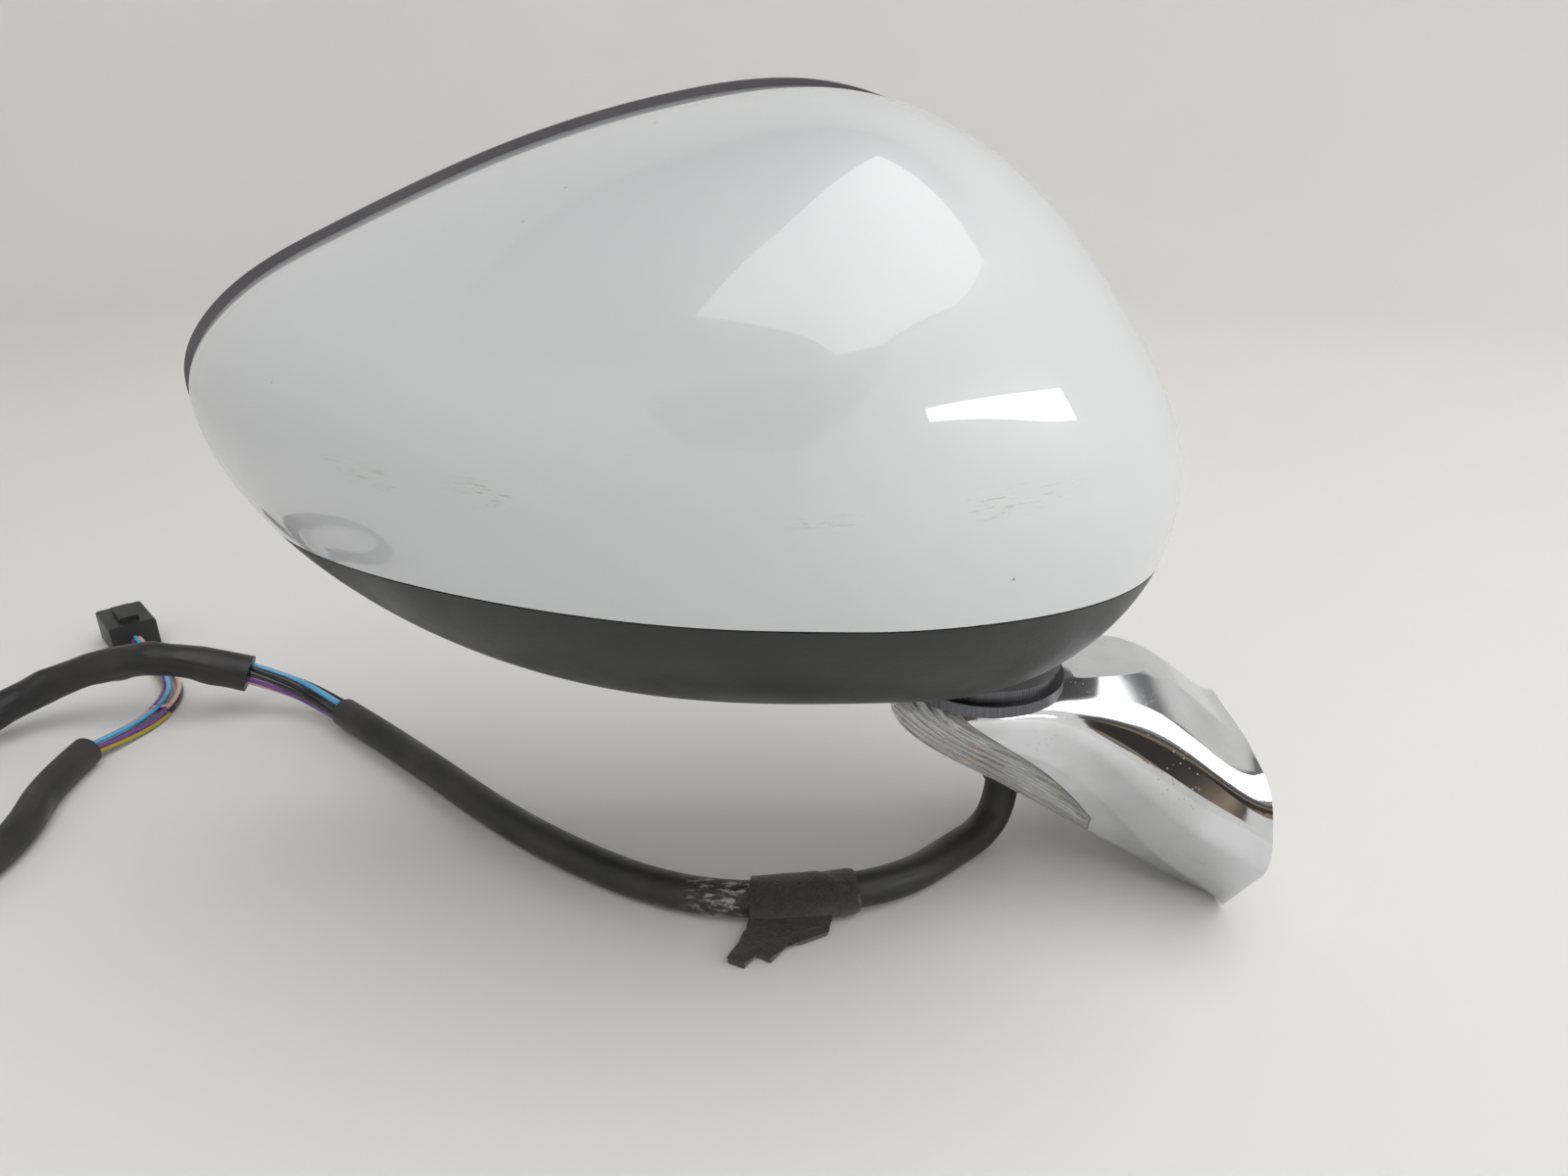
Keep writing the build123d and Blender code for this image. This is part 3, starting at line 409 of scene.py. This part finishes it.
def head_dome():
    """The whole head as one open sheet, from the rim to the tip."""
    verts, faces = [], []
    for k in range(DEPTH_COUNT):
        toward_tip = 1 - k / DEPTH_COUNT
        verts += mm(dome_row(1 - toward_tip ** 1.8))
    tip = len(verts)
    verts += mm([(HEAD_CX + APEX_SHIFT_X, RIM_Y - DOME_DEPTH, HEAD_CZ + APEX_SHIFT_Z)])
    for k in range(DEPTH_COUNT - 1):
        for i in range(OUTLINE_COUNT):
            j = (i + 1) % OUTLINE_COUNT
            low, high = k * OUTLINE_COUNT, (k + 1) * OUTLINE_COUNT
            faces.append((low + i, low + j, high + j, high + i))
    last = (DEPTH_COUNT - 1) * OUTLINE_COUNT
    faces += [(last + i, last + (i + 1) % OUTLINE_COUNT, tip) for i in range(OUTLINE_COUNT)]
    return verts, faces


DOME_VERTS, DOME_FACES = head_dome()


def shell(name, above, slot):
    """One head shell: the dome cut along the seam, with its wall."""
    mesh = bmesh.new()
    for v in DOME_VERTS:
        mesh.verts.new((v.x, v.y, v.z - seam_height(v.x)))
    mesh.verts.ensure_lookup_table()
    for face in DOME_FACES:
        mesh.faces.new([mesh.verts[i] for i in face])
    side = 1 if above else -1
    bmesh.ops.bisect_plane(mesh, geom=mesh.verts[:] + mesh.edges[:] + mesh.faces[:], dist=1e-6,
                           plane_co=(0, 0, side * SEAM_GAP / 2 * MM), plane_no=(0, 0, -side),
                           clear_outer=True)
    bmesh.ops.remove_doubles(mesh, verts=mesh.verts, dist=0.00012)
    for v in mesh.verts:
        v.co.z += seam_height(v.co.x)
    bmesh.ops.recalc_face_normals(mesh, faces=mesh.faces)
    if sum(f.normal.y * f.calc_area() for f in mesh.faces) > 0:
        bmesh.ops.reverse_faces(mesh, faces=mesh.faces)
    data = bpy.data.meshes.new(name)
    mesh.to_mesh(data)
    mesh.free()
    data.shade_smooth()
    obj = new_object(name, data)
    wall = obj.modifiers.new("wall", "SOLIDIFY")
    wall.thickness = SHELL_WALL * MM
    wall.offset = -1
    apply_modifiers(obj)
    obj.data.set_sharp_from_angle(angle=radians(45))
    dress(obj, slot)
    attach(obj, "head")
    return obj


cap = shell("painted_cap", True, "white_paint")
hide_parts("cover_cap")

under = shell("under_shell", False, "black_plastic")
spindle_low, spindle_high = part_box("detent_ring")
fold_x = (spindle_low[0] + spindle_high[0]) / 2
NECK_HOLE_R, NECK_HOLE_SIDES = 0.0202, 72
PUNCH_LOW, PUNCH_HIGH = 0.020, 0.062
ring = [(fold_x + NECK_HOLE_R * cos(2 * pi * i / NECK_HOLE_SIDES),
         NECK_HOLE_R * sin(2 * pi * i / NECK_HOLE_SIDES)) for i in range(NECK_HOLE_SIDES)]
bottom, top = tuple(range(NECK_HOLE_SIDES)), tuple(range(NECK_HOLE_SIDES, 2 * NECK_HOLE_SIDES))
punch = mesh_object(
    "neck_punch",
    [(x, y, z) for z in (PUNCH_LOW, PUNCH_HIGH) for x, y in ring],
    [bottom[::-1], top] + [(bottom[i - 1], bottom[i], top[i], top[i - 1]) for i in bottom])
cut = under.modifiers.new("neck_hole", "BOOLEAN")
cut.operation = "DIFFERENCE"
cut.solver = "EXACT"
cut.object = punch
apply_modifiers(under)
under.data.set_sharp_from_angle(angle=radians(45))
bpy.data.objects.remove(punch)
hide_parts("lower_shell")


# ---------------------------------------------------------------- bezel round the glass
# Its section, as (inset from the rim, Y, share of the shift) in millimetres, rounded at both lips.
# The shift makes it stand proud of the cap at the top and the tip.
BEZEL_SHIFT = (-1.8, 1.7)
BEZEL_SECTION = [
    (0.6, 34.1, 0.6), (0.15, 34.3, 0.95), (0.1, 34.9, 1), (0.1, 36.6, 1), (0.3, 37.5, 1), (0.9, 38.2, 0.9),
    (1.9, 38.5, 0.7), (4.2, 38.5, 0.3), (6.2, 38.3, 0), (7.1, 37.8, 0), (7.55, 37.0, 0), (7.6, 35.5, 0),
    (7.6, 29.2, 0), (5.7, 29.2, 0), (5.7, 34.1, 0),
]


def offset_ring(outline, inset):
    """Closed outline (X, Z) moved inward, square to itself."""
    along = np.roll(outline, -1, axis=0) - np.roll(outline, 1, axis=0)
    along /= np.linalg.norm(along, axis=1)[:, None]
    return outline + inset * np.stack([along[:, 1], -along[:, 0]], axis=1)


def swept_ring(name, section, sharp_angle):
    """Closed section carried round the rim."""
    outline = curve_through(RIM_POINTS, OUTLINE_COUNT, closed=True)
    verts, faces = [], []
    for inset, y, share in section:
        shift_x, shift_z = share * BEZEL_SHIFT[0], share * BEZEL_SHIFT[1]
        verts += mm([(x + shift_x, y, z + shift_z) for x, z in offset_ring(outline, inset)])
    rows = len(section)
    for k in range(rows):
        low, high = k * OUTLINE_COUNT, (k + 1) % rows * OUTLINE_COUNT
        for i in range(OUTLINE_COUNT):
            j = (i + 1) % OUTLINE_COUNT
            faces.append((low + i, high + i, high + j, low + j))
    return mesh_object(name, verts, faces, sharp_angle)


trim = swept_ring("rim_bezel", BEZEL_SECTION, 50)
dress(trim, "bezel_plastic")
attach(trim, "head")
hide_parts("bezel")


# ---------------------------------------------------------------- harness
# The same routes as the part's tubes, in metres.
LOOM_ROUTE = mm([
    (-51, 16, -5), (-51.3, 15.6, -13.6), (-56.5, 10.5, -18.9), (-65.5, 2.5, -18.9),
    (-76, -7.5, -18.5), (-90, -14.8, -17.4), (-116, -18.8, -17.4), (-139, -12.5, -18.9),
    (-162, 0.5, -18.9), (-184, 17, -18.9), (-205, 36.5, -18.9), (-226, 55.5, -18.9),
    (-245.4, 71.4, -18.4),
])
BARE_ROUTE = [LOOM_ROUTE[-1]] + mm([(-256, 78.3, -16.9), (-267, 81.6, -13.6), (-277.6, 81.3, -10)])
WRAP_ROUTE = [BARE_ROUTE[-1]] + mm([
    (-287.5, 79.6, -6.2), (-299, 77.6, -3), (-313, 76.8, -2.6),
    (-330.5, 75, -7.2), (-347, 65.5, -13.4), (-359, 48, -17.6), (-366, 28, -17.8),
])
TAIL_ROUTE = [WRAP_ROUTE[-1]] + mm([
    (-368, 7, -18.5), (-361.5, -14, -18.9), (-345, -28, -18.9),
    (-324.5, -26.5, -18.9), (-311.5, -10, -18.9), (-309.5, 11, -18.9), (-315.5, 32, -18.9),
    (-314, 50, -18.9),
])
FAN_ROUTE = [TAIL_ROUTE[-1]] + mm([
    (-310.5, 60, -20.6), (-306.5, 72, -21.3), (-307, 87, -21.3),
    (-315.5, 100.5, -21.3), (-327, 111.5, -21), (-336.5, 121.5, -19),
])
LOOM_D, WRAP_D, FAN_D = 0.0088, 0.011, 0.004


def nurbs(name, points, diameter):
    """One open spline with the route's points as its control points."""
    data = bpy.data.curves.new(name, "CURVE")
    data.dimensions = "3D"
    spline = data.splines.new("NURBS")
    spline.points.add(len(points) - 1)
    for held, point in zip(spline.points, points):
        held.co = (*point, 1.0)
    spline.order_u = 3
    spline.use_endpoint_u = True
    data.resolution_u = 16
    data.bevel_depth = diameter / 2
    data.bevel_resolution = 8
    data.use_fill_caps = diameter > 0
    return new_object(name, data)


def line_of(points):
    """Points read from the route's spline."""
    curve = nurbs("route", points, 0)
    mesh = bpy.data.meshes.new_from_object(
        curve.evaluated_get(bpy.context.evaluated_depsgraph_get()))
    line = [v.co.copy() for v in mesh.vertices]
    bpy.data.objects.remove(curve)
    return line


def frames(line):
    """Along, side and up at every point of a line, with up near Z and side toward the front."""
    made = []
    for i in range(len(line)):
        along = (line[min(i + 1, len(line) - 1)] - line[max(i - 1, 0)]).normalized()
        up = (Vector((0, 0, 1)) - along * along.z).normalized()
        side = along.cross(up)
        if side.y > 0:
            side = -side
        made.append((along, side, up))
    return made


def travelled(line):
    """Distance from the start at every point of a line."""
    steps = [0.0]
    for a, b in zip(line, line[1:]):
        steps.append(steps[-1] + (b - a).length)
    return steps


def tube_mesh(rows, sides):
    """Faces of a closed tube made of rows of points, with both ends filled."""
    faces = []
    for k in range(rows - 1):
        for i in range(sides):
            j = (i + 1) % sides
            faces.append((k * sides + i, k * sides + j, (k + 1) * sides + j, (k + 1) * sides + i))
    faces.append(tuple(range(sides))[::-1])
    faces.append(tuple(range((rows - 1) * sides, rows * sides)))
    return faces


def tube(name, line, radius, sides=32, sharp_angle=50):
    """Closed tube along a line. radius takes the distance along it and the angle round it."""
    verts = []
    for point, (along, side, up), gone in zip(line, frames(line), travelled(line)):
        for i in range(sides):
            angle = 2 * pi * i / sides
            verts.append(point + radius(gone, angle) * (cos(angle) * side + sin(angle) * up))
    return mesh_object(name, verts, tube_mesh(len(line), sides), sharp_angle)


def wire_bundle(name, line, wires, spread):
    """Separate insulated wires beside one line, in one mesh. spread moves a wire's offset along it."""
    verts, faces, finishes = [], [], []
    sides = 14
    at = travelled(line)
    for number, (colour, offset, radius) in enumerate(wires):
        centre = []
        for point, (along, side, up), gone in zip(line, frames(line), at):
            s, u = spread(number, offset, gone / at[-1])
            centre.append(point + side * s + up * u)
        first = len(verts)
        for point, (along, side, up) in zip(centre, frames(centre)):
            for i in range(sides):
                angle = 2 * pi * i / sides
                verts.append(point + radius * (cos(angle) * side + sin(angle) * up))
        strand = tube_mesh(len(line), sides)
        faces += [tuple(first + i for i in face) for face in strand]
        finishes += [colour] * len(strand)
    obj = mesh_object(name, verts, faces)
    used = sorted(set(finishes))
    for colour in used:
        obj.data.materials.append(WIRES[colour].material)
    for polygon, colour in zip(obj.data.polygons, finishes):
        polygon.material_index = used.index(colour)
    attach(obj, "foot")
    return obj


# The sheathed loom from the foot.
loom = nurbs("loom", LOOM_ROUTE, LOOM_D)
dress(loom, "loom_sheath")
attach(loom, "foot")
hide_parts("harness_loom")

# Bare wires show between the sheath and the wrap. Offsets are (toward the front, up).
BARE_WIRES = [
    ("blue", (0.4, 2.3), 0.00105), ("black", (2.0, 1.45), 0.00115), ("black", (2.45, -0.1), 0.0011),
    ("purple", (1.95, -1.5), 0.0012), ("pink", (0.75, -2.4), 0.00095), ("olive", (-0.9, -2.4), 0.0009),
    ("black", (-1.5, 1.7), 0.0011), ("grey", (-2.2, -0.6), 0.0010), ("black", (0.1, 0.1), 0.0014),
]


def slow_twist(number, offset, share):
    """Turns the bundle a little along its length."""
    turn = radians(34) * share
    s, u = offset[0] * MM, offset[1] * MM
    wander = 0.00018 * sin(9 * share + 2.1 * number)
    return s * cos(turn) - u * sin(turn) + wander, s * sin(turn) + u * cos(turn) + wander


bare_wires = wire_bundle("bare_wires", line_of(BARE_ROUTE), BARE_WIRES, slow_twist)
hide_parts("harness_bare_wires")

# The taped and shrunk stretch, lumpy along its length.
wrap_line = line_of(WRAP_ROUTE)


def wrap_radius(gone, angle):
    """Crisp thick end over the wires, then lumps, ridges and one loose fold."""
    base = 5.05 + 0.75 * max(0.0, 1 - gone / 0.034)
    lumps = 0.55 * noise.noise(Vector((gone * 70, cos(angle) * 0.9, sin(angle) * 0.9)))
    ridge = 0.38 * max(0.0, sin(gone * 190 + 1.7 * sin(angle) + 0.8)) ** 6
    fold = 0.8 * exp(-((gone - 0.040) / 0.0035) ** 2) * max(0.0, -sin(angle)) ** 2
    fine = 0.12 * noise.noise(Vector((gone * 260, cos(angle) * 4, sin(angle) * 4)))
    return (base + lumps + ridge + fold + fine) * MM


wrap = tube("taped_wrap", wrap_line, wrap_radius, sides=56)
dress(wrap, "wrap_tape")
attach(wrap, "foot")
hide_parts("harness_wrap")

tail = nurbs("tail", TAIL_ROUTE, LOOM_D)
dress(tail, "loom_sheath")
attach(tail, "foot")
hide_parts("harness_tail")

FAN_WIRES = [
    ("purple", (1.2, 0.6), 0.0007), ("pink", (-1.1, 0.9), 0.0007), ("blue", (0.1, 1.5), 0.0007),
    ("olive", (1.3, -0.8), 0.0007), ("black", (-1.2, -0.8), 0.0007), ("grey", (0.0, -0.1), 0.0007),
]


def loose_fan(number, offset, share):
    """Wires spread apart halfway and gather again at the connector."""
    open_up = 1 + 0.9 * sin(pi * share)
    wander = 0.0004 * sin(7 * share + 1.9 * number) * sin(pi * share)
    return offset[0] * MM * open_up + wander, offset[1] * MM * (1 + 0.3 * sin(pi * share))


fan = wire_bundle("wire_fan", line_of(FAN_ROUTE), FAN_WIRES, loose_fan)
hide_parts("harness_fan")

# Foam tape wound round the loom, its torn end hanging forward to the floor.
SLEEVE_LENGTH, SLEEVE_FROM_X, SLEEVE_TO_X = 0.0265, -0.1175, -0.0905
loom_line = line_of(LOOM_ROUTE)
sleeve_line = [p for p in loom_line if SLEEVE_FROM_X < p.x < SLEEVE_TO_X and p.y < 0]


def sleeve_radius(gone, angle):
    """Two turns of foam, one edge running round as a step."""
    turn = (gone / SLEEVE_LENGTH - angle / (2 * pi)) % 1.0
    step = 0.55 * (1 - turn)
    soft = 0.22 * noise.noise(Vector((gone * 150, cos(angle) * 1.6, sin(angle) * 1.6)))
    end = min(gone, SLEEVE_LENGTH - gone, 0.0012) / 0.0012
    return (4.9 + step + soft + 0.35 * max(0.0, end)) * MM


sleeve = tube("foam_sleeve_wrap", sleeve_line, sleeve_radius, sides=48, sharp_angle=70)
dress(sleeve, "foam_tape")
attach(sleeve, "foot")

# The torn flap: (share along the sleeve, tip X, tip Y) in millimetres.
FLAP_TIPS = [(0.30, -98, -24.5), (0.42, -104, -27.5), (0.50, -108.5, -29), (0.60, -111.5, -33.5),
             (0.68, -114.5, -31.6), (0.76, -117.5, -35.2), (0.86, -121.3, -33.4), (0.95, -118.5, -29),
             (1.0, -117.5, -25.5)]
FLAP_ROWS, FLAP_T = 10, 0.0019
floor_z = cad_box[0][2]


def flap():
    """The torn end, a thick ragged sheet from the sleeve down to the floor."""
    verts = []
    frame_at = frames(sleeve_line)
    for share, tip_x, tip_y in FLAP_TIPS:
        k = min(int(share * (len(sleeve_line) - 1)), len(sleeve_line) - 1)
        along, side, up = frame_at[k]
        root = sleeve_line[k] + 0.0048 * (0.82 * side - 0.45 * up)
        tip = Vector((tip_x * MM, tip_y * MM, floor_z + 0.0012))
        for r in range(FLAP_ROWS):
            t = r / (FLAP_ROWS - 1)
            point = root.lerp(tip, t)
            point.z -= 0.0016 * sin(pi * t) * (1 - t)
            point.z = max(point.z, floor_z + 0.0011)
            verts.append(point)
    faces = []
    for c in range(len(FLAP_TIPS) - 1):
        for r in range(FLAP_ROWS - 1):
            a = c * FLAP_ROWS + r
            faces.append((a, a + 1, a + FLAP_ROWS + 1, a + FLAP_ROWS))
    obj = mesh_object("foam_flap", verts, faces)
    wall = obj.modifiers.new("wall", "SOLIDIFY")
    wall.thickness = FLAP_T
    wall.offset = 0
    apply_modifiers(obj)
    obj.data.set_sharp_from_angle(angle=radians(50))
    return obj


torn_flap = flap()
dress(torn_flap, "foam_tape")
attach(torn_flap, "foot")
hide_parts("foam_sleeve")

[tuple(p) for p in line_of(FAN_ROUTE)]


# ---------------------------------------------------------------- studio
def plain(name, colour):
    """Matt surface with faint clouds."""
    look = Look(name, 0.6)
    cloud = look.span(look.noise(3, 3), 0.35, 0.7)
    look.colour(look.blend_colours(cloud, colour, tuple(0.97 * c for c in colour)))
    return look.material


FLOOR_R, BOWL_BEND_R, BOWL_TOP = 0.9, 0.55, 1.5


def studio_bowl():
    """Round floor that curves up into a wall, seen the same from every side."""
    profile = [(0.0, 0.0), (FLOOR_R, 0.0)]
    profile += [(FLOOR_R + BOWL_BEND_R * sin(a), BOWL_BEND_R - BOWL_BEND_R * cos(a))
                for a in np.linspace(0.05, pi / 2, 24)]
    profile.append((FLOOR_R + BOWL_BEND_R, BOWL_TOP))
    sides, verts, faces = 128, [], []
    middle = ((cad_box[0][0] + cad_box[1][0]) / 2, (cad_box[0][1] + cad_box[1][1]) / 2)
    verts.append((*middle, floor_z))
    for radius, height in profile[1:]:
        verts += [(middle[0] + radius * cos(2 * pi * i / sides),
                   middle[1] + radius * sin(2 * pi * i / sides), floor_z + height) for i in range(sides)]
    faces += [(0, 1 + i, 1 + (i + 1) % sides) for i in range(sides)]
    for k in range(len(profile) - 2):
        low, high = 1 + k * sides, 1 + (k + 1) * sides
        faces += [(low + i, high + i, high + (i + 1) % sides, low + (i + 1) % sides) for i in range(sides)]
    obj = mesh_object("studio_floor", verts, faces)
    obj.data.materials.append(plain("studio_floor", (0.78, 0.775, 0.765)))


def panel(name, centre, size, toward, colours):
    """Card that only reflections see, striped along its height."""
    half_w, half_h = size[0] / 2, size[1] / 2
    corners = [(-half_w, -half_h, 0), (half_w, -half_h, 0), (half_w, half_h, 0), (-half_w, half_h, 0)]
    obj = mesh_object(name, corners, [(0, 1, 2, 3)])
    obj.matrix_world = Matrix.Translation(centre) @ (
        Vector(toward) - Vector(centre)).to_track_quat("Z", "Y").to_matrix().to_4x4()
    material = bpy.data.materials.new(name)
    material.use_nodes = True
    tree = material.node_tree
    tree.nodes.clear()
    out, glow = tree.nodes.new("ShaderNodeOutputMaterial"), tree.nodes.new("ShaderNodeEmission")
    ramp, split = tree.nodes.new("ShaderNodeValToRGB"), tree.nodes.new("ShaderNodeSeparateXYZ")
    place, ranged = tree.nodes.new("ShaderNodeTexCoord"), tree.nodes.new("ShaderNodeMapRange")
    ranged.inputs["From Min"].default_value = -half_h
    ranged.inputs["From Max"].default_value = half_h
    tree.links.new(place.outputs["Object"], split.inputs["Vector"])
    tree.links.new(split.outputs["Y"], ranged.inputs["Value"])
    tree.links.new(ranged.outputs["Result"], ramp.inputs["Fac"])
    stops = ramp.color_ramp.elements
    while len(stops) < len(colours):
        stops.new(0.5)
    for stop, (place_at, colour) in zip(stops, colours):
        stop.position = place_at
        stop.color = (*colour, 1.0)
    tree.links.new(ramp.outputs["Color"], glow.inputs["Color"])
    tree.links.new(glow.outputs["Emission"], out.inputs["Surface"])
    obj.data.materials.append(material)
    obj.visible_camera = obj.visible_diffuse = obj.visible_shadow = obj.visible_transmission = False


def softbox(name, centre, toward, size, power):
    """Rectangular area light aimed at a point."""
    data = bpy.data.lights.new(name, "AREA")
    data.shape = "RECTANGLE"
    data.size, data.size_y = size
    data.energy = power
    obj = new_object(name, data)
    obj.location = centre
    obj.rotation_mode = "QUATERNION"
    obj.rotation_quaternion = (Vector(toward) - Vector(centre)).to_track_quat("-Z", "Y")
    return obj


HEAD_MIDDLE = (-0.13, -0.01, 0.09)
studio_bowl()
panel("dark_room", (-0.1, -1.25, 0.62), (2.6, 0.95), HEAD_MIDDLE, [
    (0.0, (0.10, 0.09, 0.08)), (0.18, (0.025, 0.022, 0.02)), (0.30, (0.30, 0.24, 0.18)),
    (0.40, (0.05, 0.04, 0.035)), (0.55, (0.03, 0.028, 0.028)), (0.66, (0.26, 0.20, 0.15)),
    (0.78, (0.04, 0.035, 0.035)), (1.0, (0.30, 0.30, 0.30)),
])
softbox("ceiling", (0.28, -0.28, 1.40), (-0.02, -0.06, 0.0), (2.0, 1.7), 20)
softbox("strip", (0.84, -0.40, 0.315), (-0.072, -0.048, 0.112), (0.85, 0.075), 1.6)

world = bpy.data.worlds.new("studio")
bpy.context.scene.world = world
world.use_nodes = True
background = world.node_tree.nodes["Background"]
background.inputs["Color"].default_value = (0.80, 0.81, 0.83, 1)
background.inputs["Strength"].default_value = 0.22

# ---------------------------------------------------------------- camera
CAMERA_PITCH = 24.4     # degrees below level
camera_data = bpy.data.cameras.new("camera")
camera_data.lens = 26.1
camera_data.sensor_width = 36
camera_data.clip_start = 0.01
camera = new_object("camera", camera_data)
camera.location = (-0.1084, -0.2356, 0.1634)
camera.rotation_euler = (radians(90 - CAMERA_PITCH), 0, 0)
bpy.context.scene.camera = camera
bpy.context.scene.view_settings.view_transform = "Standard"
